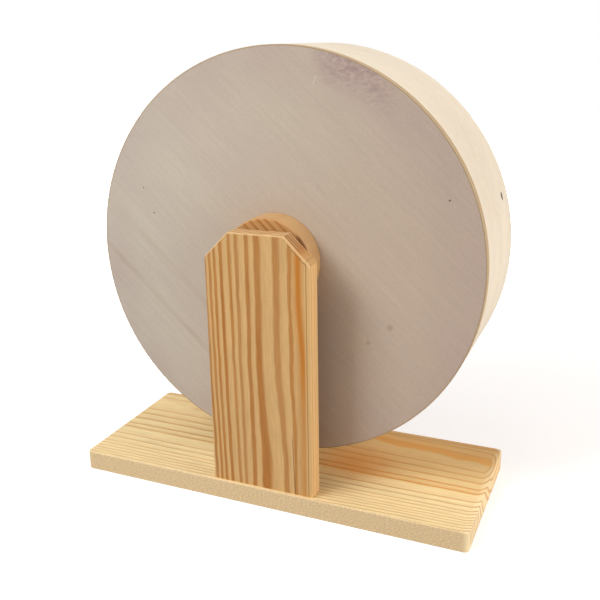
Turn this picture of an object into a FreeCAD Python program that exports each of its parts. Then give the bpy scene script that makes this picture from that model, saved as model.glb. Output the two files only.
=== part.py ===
import FreeCAD, Part
import math
import os
import Sketcher

# A wooden exercise wheel for a small rodent. A plywood drum, closed by a disc on one side and open
# on the other, turns on two ball bearings in a round wooden hub. Its axle is a bolt that goes into
# a pine post, and the post stands on a pine base board.
#
# Millimetres. The origin is the middle of the base board's underside, X runs along the base, +Z is
# up, and +Y is the way from the post through the hub into the drum, towards its open side.

OUT_FOLDER = "parts"

# Each line: name, size in millimetres (or a plain count), what it is.
SIZES = [
    ("base_length", 290, "base board along X"),
    ("base_width", 120, "base board along Y"),
    ("base_thick", 14, "base board along Z"),
    ("base_corner_round", 3.5, "radius of the base's upright corners"),
    ("base_top_round", 1, "radius along the base's top edge"),
    ("post_width", 75, "post along X"),
    ("post_thick", 12.5, "post along Y"),
    ("post_height", 180, "post above the base"),
    ("post_cut", 17.5, "side of the 45 degree cut at each top corner"),
    ("post_edge_round", 0.6, "radius along the post's front and back edges"),
    ("post_offset", 2.5, "post's middle beside the base's middle"),
    ("post_setback", 2, "post's front behind the base's edge"),
    ("axle_drop", 24, "axle below the post's top"),
    ("wheel_dia", 280, "drum outside"),
    ("disc_thick", 6, "plywood disc"),
    ("disc_edge_round", 0.4, "radius along the disc's edges"),
    ("band_thick", 3, "bent plywood band"),
    ("band_depth", 84, "band along Y"),
    ("band_rim_round", 1, "radius along the band's free edge"),
    ("cork_thick", 2, "cork lining"),
    ("cork_setback", 2, "cork's edge inside the band's edge"),
    ("hub_dia", 63, "hub block across"),
    ("hub_thick", 18, "hub block along Y"),
    ("hub_edge_round", 1.2, "radius along the hub's edge at the post"),
    ("hub_lip", 2, "shoulder in the hub that the outer rings sit against"),
    ("bearing_bore", 8, "ball bearing, inside"),
    ("bearing_dia", 22, "ball bearing, outside"),
    ("bearing_width", 7, "ball bearing along Y"),
    ("race_gap", 2.8, "radial gap between the two rings' shoulders"),
    ("ball_dia", 3.969, "bearing ball"),
    ("ball_count", 7, "balls in a bearing"),
    ("ball_play", 0.1, "ball to groove and ball to cage"),
    ("cage_wall", 1.4, "cage, radial"),
    ("cage_width", 4.8, "cage along Y"),
    ("shield_thick", 0.35, "bearing shield"),
    ("shield_inset", 0.4, "shield below the bearing's face"),
    ("shield_seat", 0.7, "shield's rim let into the outer ring"),
    ("shield_play", 0.3, "shield to inner ring"),
    ("bolt_dia", 7.9, "axle bolt's shank"),
    ("bolt_point", 0.8, "chamfer at the bolt's end"),
    ("bolt_head_height", 4.4, "bolt's button head"),
    ("bolt_head_margin", 1, "washer's edge beyond the bolt's head"),
    ("bolt_head_edge", 1.2, "straight edge of the bolt's head"),
    ("bolt_head_flat", 4, "radius of the flat on top of the bolt's head"),
    ("bolt_end_gap", 2.7, "insert's end beyond the bolt's end"),
    ("socket_size", 5, "hexagon socket, across its flats"),
    ("socket_depth", 2.6, "hexagon socket, deep"),
    ("washer_dia", 16, "washers, outside"),
    ("washer_thick", 1.6, "washer under the bolt's head"),
    ("post_washer_thick", 3.6, "washer between post and hub"),
    ("washer_play", 0.75, "washers to the cap's spigot"),
    ("bore_play", 0.05, "bolt to washers, sleeve and insert"),
    ("sleeve_wall", 1.5, "spacer sleeve's wall"),
    ("insert_dia", 12, "threaded insert, outside"),
    ("insert_wall", 2.5, "wood left in front of the insert's hole"),
    ("insert_end_gap", 0.5, "insert's end to the bottom of its hole"),
    ("insert_ribs", 5, "ribs round the insert"),
    ("insert_rib_depth", 0.6, "how far the ribs stand out"),
    ("cap_wall", 1.2, "wall of the cap's spigot"),
    ("cap_overlap", 6, "cap's edge beyond the disc's hole"),
    ("cap_height", 6, "cap above the disc"),
    ("cap_round", 3, "radius along the cap's edge"),
    ("cap_head_gap", 1, "bolt's head to the cap's inside"),
    ("spigot_gap", 2, "cap's spigot to the bearing"),
    ("screw_dia", 4, "wood screws"),
    ("screw_head_dia", 8, "wood screws' countersunk heads"),
    ("screw_head_height", 2.2, "wood screws' countersunk heads"),
    ("screw_point", 5, "wood screws' tapered points"),
    ("screw_sink", 0.2, "screw heads below the surface"),
    ("screw_play", 0.1, "screws to their holes"),
    ("drive_span", 4.4, "cross recess, tip to tip"),
    ("drive_width", 1, "cross recess, each slot"),
    ("drive_depth", 1.4, "cross recess"),
    ("post_screw_count", 3, "screws up into the post"),
    ("post_screw_length", 40, "screws up into the post"),
    ("post_screw_edge", 12.5, "outer screws from the post's sides"),
    ("hub_screw_count", 4, "screws through the disc into the hub"),
    ("hub_screw_cover", 5.8, "hub wood beyond the screws' points"),
    ("press_gap", 0.02, "bearing rings to their seats"),
    ("glue_line", 0.05, "glued cork, cap and insert to their seats"),
]

# Each line: name, formula. Places and fits that follow from the sizes. Stations are along Y.
FITS = [
    ("axle_height", "Size.base_thick + Size.post_height - Size.axle_drop"),
    ("post_front", "Size.post_setback - Size.base_width / 2"),
    ("post_left", "Size.post_offset - Size.post_width / 2"),
    ("post_back", "post_front + Size.post_thick"),
    ("hub_face", "post_back + Size.post_washer_thick"),
    ("disc_face", "hub_face + Size.hub_thick"),
    ("drum_face", "disc_face + Size.disc_thick"),
    ("disc_bearing_face", "disc_face - Size.bearing_width"),
    ("sleeve_face", "hub_face + Size.bearing_width"),
    ("wheel_radius", "Size.wheel_dia / 2"),
    ("band_bore", "wheel_radius - Size.band_thick"),
    ("rim_round", "min(Size.band_rim_round; Size.band_thick * 0.4)"),
    ("hub_radius", "Size.hub_dia / 2"),
    ("bearing_radius", "Size.bearing_dia / 2"),
    ("bearing_seat", "bearing_radius + Size.press_gap"),
    ("hub_bore", "bearing_radius - Size.hub_lip"),
    ("sleeve_length", "Size.hub_thick - 2 * Size.bearing_width"),
    ("ball_pitch", "(Size.bearing_bore + Size.bearing_dia) / 4"),
    ("ball_radius", "Size.ball_dia / 2"),
    ("inner_shoulder", "ball_pitch - Size.race_gap / 2"),
    ("outer_shoulder", "ball_pitch + Size.race_gap / 2"),
    ("shield_rim", "outer_shoulder + Size.shield_seat"),
    ("shield_bore", "inner_shoulder + Size.shield_play"),
    ("shield_recess", "Size.shield_inset + Size.shield_thick"),
    ("bearing_middle", "Size.bearing_width / 2"),
    ("cage_face", "bearing_middle - Size.cage_width / 2"),
    ("bolt_radius", "Size.bolt_dia / 2"),
    ("bolt_bore", "bolt_radius + Size.bore_play"),
    ("washer_radius", "Size.washer_dia / 2"),
    ("insert_hole_depth", "Size.post_thick - Size.insert_wall"),
    ("insert_length", "insert_hole_depth - Size.insert_end_gap"),
    ("insert_hole_radius", "Size.insert_dia / 2 + Size.glue_line"),
    ("bolt_reach", "insert_length - Size.bolt_end_gap"),
    ("bolt_length", "bolt_reach + Size.post_washer_thick + Size.hub_thick + Size.washer_thick"),
    ("bolt_head_radius", "washer_radius - Size.bolt_head_margin"),
    ("bolt_head_top", "bolt_length + Size.bolt_head_height"),
    ("disc_bore", "washer_radius + Size.washer_play + Size.cap_wall + Size.glue_line"),
    ("spigot_radius", "disc_bore - Size.glue_line"),
    ("spigot_bore", "spigot_radius - Size.cap_wall"),
    ("spigot_length", "Size.disc_thick - Size.spigot_gap"),
    ("cap_radius", "disc_bore + Size.cap_overlap"),
    ("cap_top", "spigot_length + Size.cap_height"),
    ("head_above_disc", "Size.washer_thick + Size.bolt_head_height - Size.disc_thick"),
    ("cap_ceiling", "spigot_length + head_above_disc + Size.cap_head_gap"),
    ("drive_low", "(Size.drive_span - Size.drive_width) / 2"),
    ("drive_high", "(Size.drive_span + Size.drive_width) / 2"),
    ("screw_radius", "Size.screw_dia / 2"),
    ("screw_head_radius", "Size.screw_head_dia / 2"),
    ("hub_screw_ring", "(Size.hub_dia + Size.bearing_dia) / 4"),
    ("hub_screw_length", "Size.disc_thick + Size.hub_thick - Size.screw_sink - Size.hub_screw_cover"),
    ("post_screw_row", "Size.post_width - 2 * Size.post_screw_edge"),
    ("post_screw_depth", "Size.post_screw_length + Size.screw_sink - Size.base_thick + Size.screw_play"),
    ("hub_screw_depth", "Size.hub_thick - Size.hub_screw_cover + Size.screw_play"),
]

FULL_TURN = 360
NEAR = 1e-4

# A sketch's own numbers for its two axes, and for an edge's start, end and centre.
H_AXIS, V_AXIS = -1, -2
START, END, CENTRE = range(1, 4)

doc = FreeCAD.newDocument("ExerciseWheel")
pieces = {}


def fill_sheet(name, lines, mark):
    """Write one line per size: its name in column A, its value or formula in column B."""
    sheet = doc.addObject("Spreadsheet::Sheet", name)
    for row, line in enumerate(lines, start=1):
        sheet.set("A%d" % row, line[0])
        sheet.set("B%d" % row, mark + str(line[1]))
        sheet.setAlias("B%d" % row, line[0])
        if len(line) > 2:
            sheet.set("C%d" % row, line[2])
    doc.recompute()
    return sheet


size_sheet = fill_sheet("Size", SIZES, "")
fit_sheet = fill_sheet("Fit", FITS, "=")


def value(formula):
    """The number that a formula of the two sheets gives now."""
    return float(fit_sheet.evalExpression(formula))


def new_piece(name, solids, x, y, z, reversed_y=False):
    """A body at (x, y, z), each a formula; reversed_y turns its Y axis towards the post."""
    body = doc.addObject("PartDesign::Body", name)
    body.Label = name
    body.AllowCompound = True
    if reversed_y:
        body.Placement.Rotation = FreeCAD.Rotation(FreeCAD.Vector(0, 0, 1), 180)
    for axis, formula in zip("xyz", (x, y, z)):
        body.setExpression("Placement.Base." + axis, formula)
    pieces[name] = (body, solids)
    return body


def axle_piece(name, station, solids=1, reversed_y=False):
    """A body whose own Y axis is the axle, with its zero at the given station."""
    return new_piece(name, solids, "Size.post_offset", station, "Fit.axle_height", reversed_y)


def origin_part(body, role):
    """One of the body's own origin planes or axes."""
    return next(part for part in body.Origin.OriginFeatures if part.Role == role)


def attach(feature, body, role, across="0", up="0", out="0"):
    """Put a sketch or primitive on an origin plane, moved within it and along its normal."""
    feature.AttachmentSupport = [(origin_part(body, role), "")]
    feature.MapMode = "FlatFace"
    for axis, formula in zip("xyz", (across, up, out)):
        feature.setExpression("AttachmentOffset.Base." + axis, formula)


def pin_point(sketch, edge, point, across, up):
    """Fix one point of an edge of the sketch at two formulas, measured from the origin."""
    for kind, formula, axis in (("DistanceX", across, V_AXIS), ("DistanceY", up, H_AXIS)):
        if formula == "0":
            sketch.addConstraint(Sketcher.Constraint("PointOnObject", edge, point, axis))
            continue
        name = "%s_of_point_%d" % (kind, edge)
        place = (H_AXIS, START, edge, point, value(formula))
        index = sketch.addConstraint(Sketcher.Constraint(kind, *place))
        sketch.renameConstraint(index, name)
        sketch.setExpression("Constraints." + name, formula)


def outline(body, role, corners, name="outline", **place):
    """A sketch with one closed outline through corners, each a pair of formulas."""
    sketch = body.newObject("Sketcher::SketchObject", body.Name + "_" + name)
    attach(sketch, body, role, **place)
    points = [FreeCAD.Vector(value(across), value(up), 0) for across, up in corners]
    for start, end in zip(points, points[1:] + points[:1]):
        sketch.addGeometry(Part.LineSegment(start, end), False)
    for edge in range(len(points)):
        following = (edge + 1) % len(points)
        sketch.addConstraint(Sketcher.Constraint("Coincident", edge, END, following, START))
    for edge, (across, up) in enumerate(corners):
        pin_point(sketch, edge, START, across, up)
    return sketch


def round_sketch(body, role, name, across, up, radius):
    """A sketch with one circle, its centre and radius given by formulas."""
    sketch = body.newObject("Sketcher::SketchObject", body.Name + "_" + name)
    attach(sketch, body, role)
    centre = FreeCAD.Vector(value(across), value(up), 0)
    sketch.addGeometry(Part.Circle(centre, FreeCAD.Vector(0, 0, 1), value(radius)), False)
    pin_point(sketch, 0, CENTRE, across, up)
    index = sketch.addConstraint(Sketcher.Constraint("Radius", 0, value(radius)))
    sketch.renameConstraint(index, "radius_of_circle")
    sketch.setExpression("Constraints.radius_of_circle", radius)
    return sketch


def turn(body, sketch, kind="PartDesign::Revolution"):
    """Turn a sketch about its own upright axis, to add material or, as a Groove, to cut it."""
    feature = body.newObject(kind, sketch.Name + "_turned")
    feature.Profile = sketch
    feature.ReferenceAxis = (sketch, ["V_Axis"])
    feature.Angle = FULL_TURN
    return feature


def turned_piece(name, station, profile, **options):
    """A piece turned about the axle; its profile is pairs of radius and station formulas."""
    body = axle_piece(name, station, **options)
    turn(body, outline(body, "XY_Plane", profile))
    return body


def pad(body, sketch, length, reverse=False):
    """Push a sketch out by a formula's length."""
    feature = body.newObject("PartDesign::Pad", sketch.Name + "_pad")
    feature.Profile = sketch
    feature.Reversed = reverse
    feature.setExpression("Length", length)
    return feature


def primitive(body, kind, name, role, sizes, **place):
    """An added or cut ball, cylinder, box or prism with its sizes bound to formulas."""
    feature = body.newObject("PartDesign::" + kind, body.Name + "_" + name)
    attach(feature, body, role, **place)
    for size, formula in sizes.items():
        feature.setExpression(size, formula)
    return feature


def ring_of(body, features, count):
    """Repeat features evenly round the body's Y axis."""
    pattern = body.newObject("PartDesign::PolarPattern", body.Name + "_ring")
    pattern.Originals = features
    pattern.Axis = (origin_part(body, "Y_Axis"), [""])
    pattern.Angle = FULL_TURN
    pattern.setExpression("Occurrences", count)
    body.Tip = pattern
    return pattern


def row_of(body, features, length, count):
    """Repeat features evenly along the body's X axis, over a formula's length."""
    pattern = body.newObject("PartDesign::LinearPattern", body.Name + "_row")
    pattern.Originals = features
    pattern.Direction = (origin_part(body, "X_Axis"), [""])
    pattern.setExpression("Length", length)
    pattern.setExpression("Occurrences", count)
    body.Tip = pattern
    return pattern


def round_edges(body, name, radius, wanted):
    """Fillet the edges of the body's last feature whose middle point the test accepts."""
    doc.recompute()
    base = body.Tip
    names = []
    for number, edge in enumerate(base.Shape.Edges, start=1):
        middle = edge.valueAt((edge.FirstParameter + edge.LastParameter) / 2)
        if wanted(edge, middle):
            names.append("Edge%d" % number)
    feature = body.newObject("PartDesign::Fillet", body.Name + "_" + name)
    feature.Base = (base, names)
    feature.setExpression("Radius", radius)
    return feature


def same(first, second):
    """Whether two lengths agree."""
    return abs(first - second) < NEAR


def cuts(body, volume_before):
    """Stop if the last cut took nothing away."""
    doc.recompute()
    if not body.Shape.Volume < volume_before - NEAR:
        raise RuntimeError("nothing was cut from " + body.Label)


def volume(body):
    """The body's volume now."""
    doc.recompute()
    return body.Shape.Volume


def screw_hole(depth):
    """Countersunk hole: half its outline from the surface down, with play all round."""
    head = "Fit.screw_head_radius + Size.screw_play"
    shank = "Fit.screw_radius + Size.screw_play"
    return [
        ("0", "0"),
        (head, "0"),
        (head, "Size.screw_sink"),
        (shank, "Size.screw_sink + Size.screw_head_height"),
        (shank, depth),
        ("0", depth),
    ]


def screw_outline(length):
    """Countersunk wood screw: half its outline from the head down to the point."""
    return [
        ("0", "0"),
        ("Fit.screw_head_radius", "0"),
        ("Fit.screw_radius", "Size.screw_head_height"),
        ("Fit.screw_radius", length + " - Size.screw_point"),
        ("0", length),
    ]


def cross_recess(body, role, reverse, **place):
    """Cut a cross recess into a screw's head, from the head's face down."""
    low, high, span = "Fit.drive_low", "Fit.drive_high", "Size.drive_span"
    corners = [
        (low, "0"),
        (high, "0"),
        (high, low),
        (span, low),
        (span, high),
        (high, high),
        (high, span),
        (low, span),
        (low, high),
        ("0", high),
        ("0", low),
        (low, low),
    ]
    across = place.get("across", "0") + " - Size.drive_span / 2"
    sketch = outline(body, role, corners, name="recess", across=across, up="-Size.drive_span / 2")
    before = volume(body)
    feature = body.newObject("PartDesign::Pocket", sketch.Name + "_pocket")
    feature.Profile = sketch
    feature.Reversed = reverse
    feature.setExpression("Length", "Size.drive_depth")
    cuts(body, before)
    return feature


def make_base_board():
    """Flat board, rounded corners and top edge, countersunk from below for the post's screws."""
    body = new_piece("base_board", 1, "-Size.base_length / 2", "-Size.base_width / 2", "0")
    corners = [
        ("0", "0"),
        ("Size.base_length", "0"),
        ("Size.base_length", "Size.base_width"),
        ("0", "Size.base_width"),
    ]
    pad(body, outline(body, "XY_Plane", corners), "Size.base_thick")
    round_edges(
        body,
        "corners",
        "Size.base_corner_round",
        lambda edge, middle: same(middle.z, value("Size.base_thick / 2")),
    )
    round_edges(
        body,
        "top_edge",
        "Size.base_top_round",
        lambda edge, middle: same(middle.z, value("Size.base_thick")),
    )
    before = volume(body)
    hole = outline(
        body,
        "XZ_Plane",
        screw_hole("Size.base_thick"),
        name="screw_hole",
        across="Size.base_length / 2 + Fit.post_left + Size.post_screw_edge",
        out="-(Size.post_setback + Size.post_thick / 2)",
    )
    row_of(body, [turn(body, hole, "PartDesign::Groove")], "Fit.post_screw_row", "Size.post_screw_count")
    cuts(body, before)


def make_upright_post():
    """Board on end with cut top corners, holed at the back for the insert and below for screws."""
    body = new_piece("upright_post", 1, "Fit.post_left", "Fit.post_front", "Size.base_thick")
    corners = [
        ("0", "0"),
        ("Size.post_width", "0"),
        ("Size.post_width", "Size.post_height - Size.post_cut"),
        ("Size.post_width - Size.post_cut", "Size.post_height"),
        ("Size.post_cut", "Size.post_height"),
        ("0", "Size.post_height - Size.post_cut"),
    ]
    pad(body, outline(body, "XZ_Plane", corners), "Size.post_thick", reverse=True)
    round_edges(
        body,
        "edges",
        "Size.post_edge_round",
        lambda edge, middle: middle.z > NEAR
        and (same(middle.y, 0) or same(middle.y, value("Size.post_thick"))),
    )
    before = volume(body)
    primitive(
        body,
        "SubtractiveCylinder",
        "insert_hole",
        "XZ_Plane",
        {"Radius": "Fit.insert_hole_radius", "Height": "Fit.insert_hole_depth"},
        across="Size.post_width / 2",
        up="Size.post_height - Size.axle_drop",
        out="-Size.post_thick",
    )
    cuts(body, before)
    before = volume(body)
    pilot = primitive(
        body,
        "SubtractiveCylinder",
        "pilot",
        "XY_Plane",
        {"Radius": "Fit.screw_radius + Size.screw_play", "Height": "Fit.post_screw_depth"},
        across="Size.post_screw_edge",
        up="Size.post_thick / 2",
    )
    row_of(body, [pilot], "Fit.post_screw_row", "Size.post_screw_count")
    cuts(body, before)


def make_post_screws():
    """Countersunk screws from under the base up into the post's end."""
    body = new_piece(
        "post_screws",
        int(value("Size.post_screw_count")),
        "Fit.post_left + Size.post_screw_edge",
        "Fit.post_front + Size.post_thick / 2",
        "Size.screw_sink",
    )
    screw = turn(body, outline(body, "XZ_Plane", screw_outline("Size.post_screw_length")))
    recess = cross_recess(body, "XY_Plane", reverse=True)
    row_of(body, [screw, recess], "Fit.post_screw_row", "Size.post_screw_count")


def make_threaded_insert():
    """Ribbed metal insert in the post, its ribs a zigzag along the outside."""
    ribs = int(value("Size.insert_ribs"))
    profile = [("Fit.bolt_bore", "Fit.insert_length"), ("Fit.bolt_bore", "0")]
    for rib in range(ribs):
        start = "Fit.insert_length * %d / %d" % (rib, ribs)
        crest = "Fit.insert_length * %d / %d" % (2 * rib + 1, 2 * ribs)
        profile.append(("Size.insert_dia / 2 - Size.insert_rib_depth", start if rib else "0"))
        profile.append(("Size.insert_dia / 2", crest))
    profile.append(("Size.insert_dia / 2 - Size.insert_rib_depth", "Fit.insert_length"))
    turned_piece("threaded_insert", "Fit.post_back", profile, reversed_y=True)


def make_axle_bolt():
    """Button head bolt from inside the drum, through both bearings, into the insert."""
    profile = [
        ("0", "0"),
        ("Fit.bolt_radius - Size.bolt_point", "0"),
        ("Fit.bolt_radius", "Size.bolt_point"),
        ("Fit.bolt_radius", "Fit.bolt_length"),
        ("Fit.bolt_head_radius", "Fit.bolt_length"),
        ("Fit.bolt_head_radius", "Fit.bolt_length + Size.bolt_head_edge"),
        ("Size.bolt_head_flat", "Fit.bolt_head_top"),
        ("0", "Fit.bolt_head_top"),
    ]
    body = turned_piece("axle_bolt", "Fit.post_back - Fit.bolt_reach", profile)
    before = volume(body)
    socket = primitive(
        body,
        "SubtractivePrism",
        "socket",
        "XZ_Plane",
        {"Circumradius": "Size.socket_size / sqrt(3)", "Height": "Size.socket_depth"},
        out="-Fit.bolt_head_top",
    )
    socket.Polygon = 6
    cuts(body, before)


def make_axle_washers():
    """Two washers: a thick one against the post, a plain one under the bolt's head."""
    body = axle_piece("axle_washers", "Fit.post_back", solids=2)
    thick = "Size.post_washer_thick"
    places = (
        ("at_post", "0", thick),
        ("at_head", thick + " + Size.hub_thick", "Size.washer_thick"),
    )
    for name, start, width in places:
        end = start + " + " + width
        profile = [
            ("Fit.bolt_bore", start),
            ("Fit.washer_radius", start),
            ("Fit.washer_radius", end),
            ("Fit.bolt_bore", end),
        ]
        turn(body, outline(body, "XY_Plane", profile, name=name))


def make_spacer_sleeve():
    """Tube between the two inner rings."""
    profile = [
        ("Fit.bolt_bore", "0"),
        ("Fit.bolt_bore + Size.sleeve_wall", "0"),
        ("Fit.bolt_bore + Size.sleeve_wall", "Fit.sleeve_length"),
        ("Fit.bolt_bore", "Fit.sleeve_length"),
    ]
    turned_piece("spacer_sleeve", "Fit.sleeve_face", profile)


def cut_race(body):
    """Ball groove of a bearing ring: a round section turned at the balls' pitch."""
    before = volume(body)
    groove_radius = "Fit.ball_radius + Size.ball_play"
    section = round_sketch(body, "XY_Plane", "race", "Fit.ball_pitch", "Fit.bearing_middle", groove_radius)
    turn(body, section, "PartDesign::Groove")
    cuts(body, before)


def make_bearing(side, station):
    """Ball bearing: two grooved rings, two shields, a set of balls and their cage."""
    width = "Size.bearing_width"
    inner = [
        ("Size.bearing_bore / 2", "0"),
        ("Fit.inner_shoulder", "0"),
        ("Fit.inner_shoulder", width),
        ("Size.bearing_bore / 2", width),
    ]
    cut_race(turned_piece(side + "_bearing_inner_ring", station, inner))
    outer = [
        ("Fit.shield_rim", "0"),
        ("Fit.bearing_radius", "0"),
        ("Fit.bearing_radius", width),
        ("Fit.shield_rim", width),
        ("Fit.shield_rim", width + " - Fit.shield_recess"),
        ("Fit.outer_shoulder", width + " - Fit.shield_recess"),
        ("Fit.outer_shoulder", "Fit.shield_recess"),
        ("Fit.shield_rim", "Fit.shield_recess"),
    ]
    cut_race(turned_piece(side + "_bearing_outer_ring", station, outer))
    shields = axle_piece(side + "_bearing_shields", station, solids=2)
    far_start = width + " - Fit.shield_recess"
    for name, start in (("near", "Size.shield_inset"), ("far", far_start)):
        end = start + " + Size.shield_thick"
        plate = [
            ("Fit.shield_bore", start),
            ("Fit.shield_rim - Size.press_gap", start),
            ("Fit.shield_rim - Size.press_gap", end),
            ("Fit.shield_bore", end),
        ]
        turn(shields, outline(shields, "XY_Plane", plate, name=name))
    balls = axle_piece(side + "_bearing_balls", station, solids=int(value("Size.ball_count")))
    middle = {"across": "Fit.ball_pitch", "up": "Fit.bearing_middle"}
    ball = primitive(balls, "AdditiveSphere", "ball", "XY_Plane", {"Radius": "Fit.ball_radius"}, **middle)
    ring_of(balls, [ball], "Size.ball_count")
    cage_in = "Fit.ball_pitch - Size.cage_wall / 2"
    cage_out = "Fit.ball_pitch + Size.cage_wall / 2"
    cage_end = "Fit.cage_face + Size.cage_width"
    strip = [(cage_in, "Fit.cage_face"), (cage_out, "Fit.cage_face"), (cage_out, cage_end), (cage_in, cage_end)]
    cage = turned_piece(side + "_bearing_cage", station, strip)
    before = volume(cage)
    hole = round_sketch(cage, "YZ_Plane", "pocket", "Fit.bearing_middle", "0", "Fit.ball_radius + Size.ball_play")
    pocket = cage.newObject("PartDesign::Pocket", hole.Name + "_cut")
    pocket.Profile = hole
    pocket.Reversed = True
    pocket.setExpression("Length", "Fit.ball_pitch + Size.cage_wall")
    ring_of(cage, [pocket], "Size.ball_count")
    cuts(cage, before)


def make_hub_block():
    """Round wooden block with a seat for a bearing at each end and a shoulder between them."""
    depth = "Size.hub_thick"
    width = "Size.bearing_width"
    profile = [
        ("Fit.bearing_seat", "0"),
        ("Fit.hub_radius", "0"),
        ("Fit.hub_radius", depth),
        ("Fit.bearing_seat", depth),
        ("Fit.bearing_seat", depth + " - " + width),
        ("Fit.hub_bore", depth + " - " + width),
        ("Fit.hub_bore", width),
        ("Fit.bearing_seat", width),
    ]
    body = turned_piece("hub_block", "Fit.disc_face", profile, reversed_y=True)
    round_edges(
        body,
        "edge",
        "Size.hub_edge_round",
        lambda edge, middle: same(middle.y, value(depth))
        and same(edge.Length, edge_of_circle("Fit.hub_radius")),
    )
    before = volume(body)
    pilot = primitive(
        body,
        "SubtractiveCylinder",
        "pilot",
        "XZ_Plane",
        {"Radius": "Fit.screw_radius + Size.screw_play", "Height": "Fit.hub_screw_depth"},
        across="Fit.hub_screw_ring",
        out="-Fit.hub_screw_depth",
    )
    ring_of(body, [pilot], "Size.hub_screw_count")
    cuts(body, before)


def edge_of_circle(radius):
    """The length round a circle of a formula's radius."""
    return 2 * math.pi * value(radius)


def make_back_disc():
    """Plywood disc that closes the drum, holed for the axle and countersunk inside the drum."""
    profile = [
        ("Fit.disc_bore", "0"),
        ("Fit.wheel_radius", "0"),
        ("Fit.wheel_radius", "Size.disc_thick"),
        ("Fit.disc_bore", "Size.disc_thick"),
    ]
    body = turned_piece("back_disc", "Fit.drum_face", profile, reversed_y=True)
    round_edges(
        body,
        "edge",
        "Size.disc_edge_round",
        lambda edge, middle: same(middle.y, value("Size.disc_thick"))
        and same(edge.Length, edge_of_circle("Fit.wheel_radius")),
    )
    before = volume(body)
    hole = outline(
        body, "XY_Plane", screw_hole("Size.disc_thick"), name="screw_hole", across="Fit.hub_screw_ring"
    )
    ring_of(body, [turn(body, hole, "PartDesign::Groove")], "Size.hub_screw_count")
    cuts(body, before)


def make_hub_screws():
    """Countersunk screws from inside the drum, through the disc into the hub block."""
    body = axle_piece(
        "hub_screws",
        "Fit.drum_face - Size.screw_sink",
        solids=int(value("Size.hub_screw_count")),
        reversed_y=True,
    )
    sketch = outline(
        body, "XY_Plane", screw_outline("Fit.hub_screw_length"), across="Fit.hub_screw_ring"
    )
    screw = turn(body, sketch)
    recess = cross_recess(body, "XZ_Plane", reverse=False, across="Fit.hub_screw_ring")
    ring_of(body, [screw, recess], "Size.hub_screw_count")


def make_rim_band():
    """Bent plywood band glued to the disc, with a rounded free edge."""
    profile = [
        ("Fit.band_bore", "0"),
        ("Fit.wheel_radius", "0"),
        ("Fit.wheel_radius", "Size.band_depth"),
        ("Fit.band_bore", "Size.band_depth"),
    ]
    body = turned_piece("rim_band", "Fit.drum_face", profile)
    round_edges(
        body, "free_edge", "Fit.rim_round", lambda edge, middle: same(middle.y, value("Size.band_depth"))
    )


def make_cork_lining():
    """Cork strip glued inside the band, a little short of its free edge."""
    outside = "Fit.band_bore - Size.glue_line"
    inside = outside + " - Size.cork_thick"
    length = "Size.band_depth - Size.cork_setback"
    turned_piece(
        "cork_lining", "Fit.drum_face", [(inside, "0"), (outside, "0"), (outside, length), (inside, length)]
    )


def make_axle_cap():
    """Turned button that plugs the disc's hole and hollows out over the bolt's head."""
    profile = [
        ("Fit.spigot_bore", "0"),
        ("Fit.spigot_radius", "0"),
        ("Fit.spigot_radius", "Fit.spigot_length"),
        ("Fit.cap_radius", "Fit.spigot_length"),
        ("Fit.cap_radius", "Fit.cap_top"),
        ("0", "Fit.cap_top"),
        ("0", "Fit.cap_ceiling"),
        ("Fit.spigot_bore", "Fit.cap_ceiling"),
    ]
    body = turned_piece("axle_cap", "Fit.drum_face - Fit.spigot_length", profile)
    round_edges(body, "edge", "Size.cap_round", lambda edge, middle: same(middle.y, value("Fit.cap_top")))


def check_pieces():
    """Stop unless every object is sound and every piece has the solids that it should."""
    doc.recompute()
    for thing in doc.Objects:
        if "Invalid" in thing.State or "Error" in thing.State:
            raise RuntimeError("%s failed: %s" % (thing.Name, thing.State))
    for name, (body, solids) in pieces.items():
        if body.Shape.isNull() or not body.Shape.isValid():
            raise RuntimeError(name + " has no valid shape")
        if len(body.Shape.Solids) != solids:
            raise RuntimeError("%s has %d solids, not %d" % (name, len(body.Shape.Solids), solids))


def write_pieces():
    """Write each piece to its own file and list it."""
    os.makedirs(OUT_FOLDER, exist_ok=True)
    for name, (body, solids) in pieces.items():
        body.Shape.exportStep("%s/%s.step" % (OUT_FOLDER, name))
        box = body.Shape.BoundBox
        corners = (box.XMin, box.XMax, box.YMin, box.YMax, box.ZMin, box.ZMax)
        print("%-26s %2d solids %9.1f mm3  x %.2f..%.2f  y %.2f..%.2f  z %.2f..%.2f"
              % ((name, solids, body.Shape.Volume) + corners))


make_base_board()
make_upright_post()
make_post_screws()
make_threaded_insert()
make_axle_bolt()
make_axle_washers()
make_spacer_sleeve()
make_bearing("post", "Fit.hub_face")
make_bearing("disc", "Fit.disc_bearing_face")
make_hub_block()
make_back_disc()
make_hub_screws()
make_rim_band()
make_cork_lining()
make_axle_cap()
check_pieces()
write_pieces()
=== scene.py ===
import math

import bpy
import numpy as np
from mathutils import Matrix, Vector

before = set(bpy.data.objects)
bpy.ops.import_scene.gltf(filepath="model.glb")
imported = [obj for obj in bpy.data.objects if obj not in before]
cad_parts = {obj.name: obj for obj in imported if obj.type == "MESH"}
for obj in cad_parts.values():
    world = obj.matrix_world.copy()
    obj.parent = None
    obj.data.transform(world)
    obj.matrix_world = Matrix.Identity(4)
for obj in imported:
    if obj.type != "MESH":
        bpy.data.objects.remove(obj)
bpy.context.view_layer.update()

# Looks of a small rodent's wooden exercise wheel. Metres in the mesh, millimetres in the materials:
# each material turns Object coordinates into millimetres with a Mapping node first.

MM = 0.001
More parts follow.
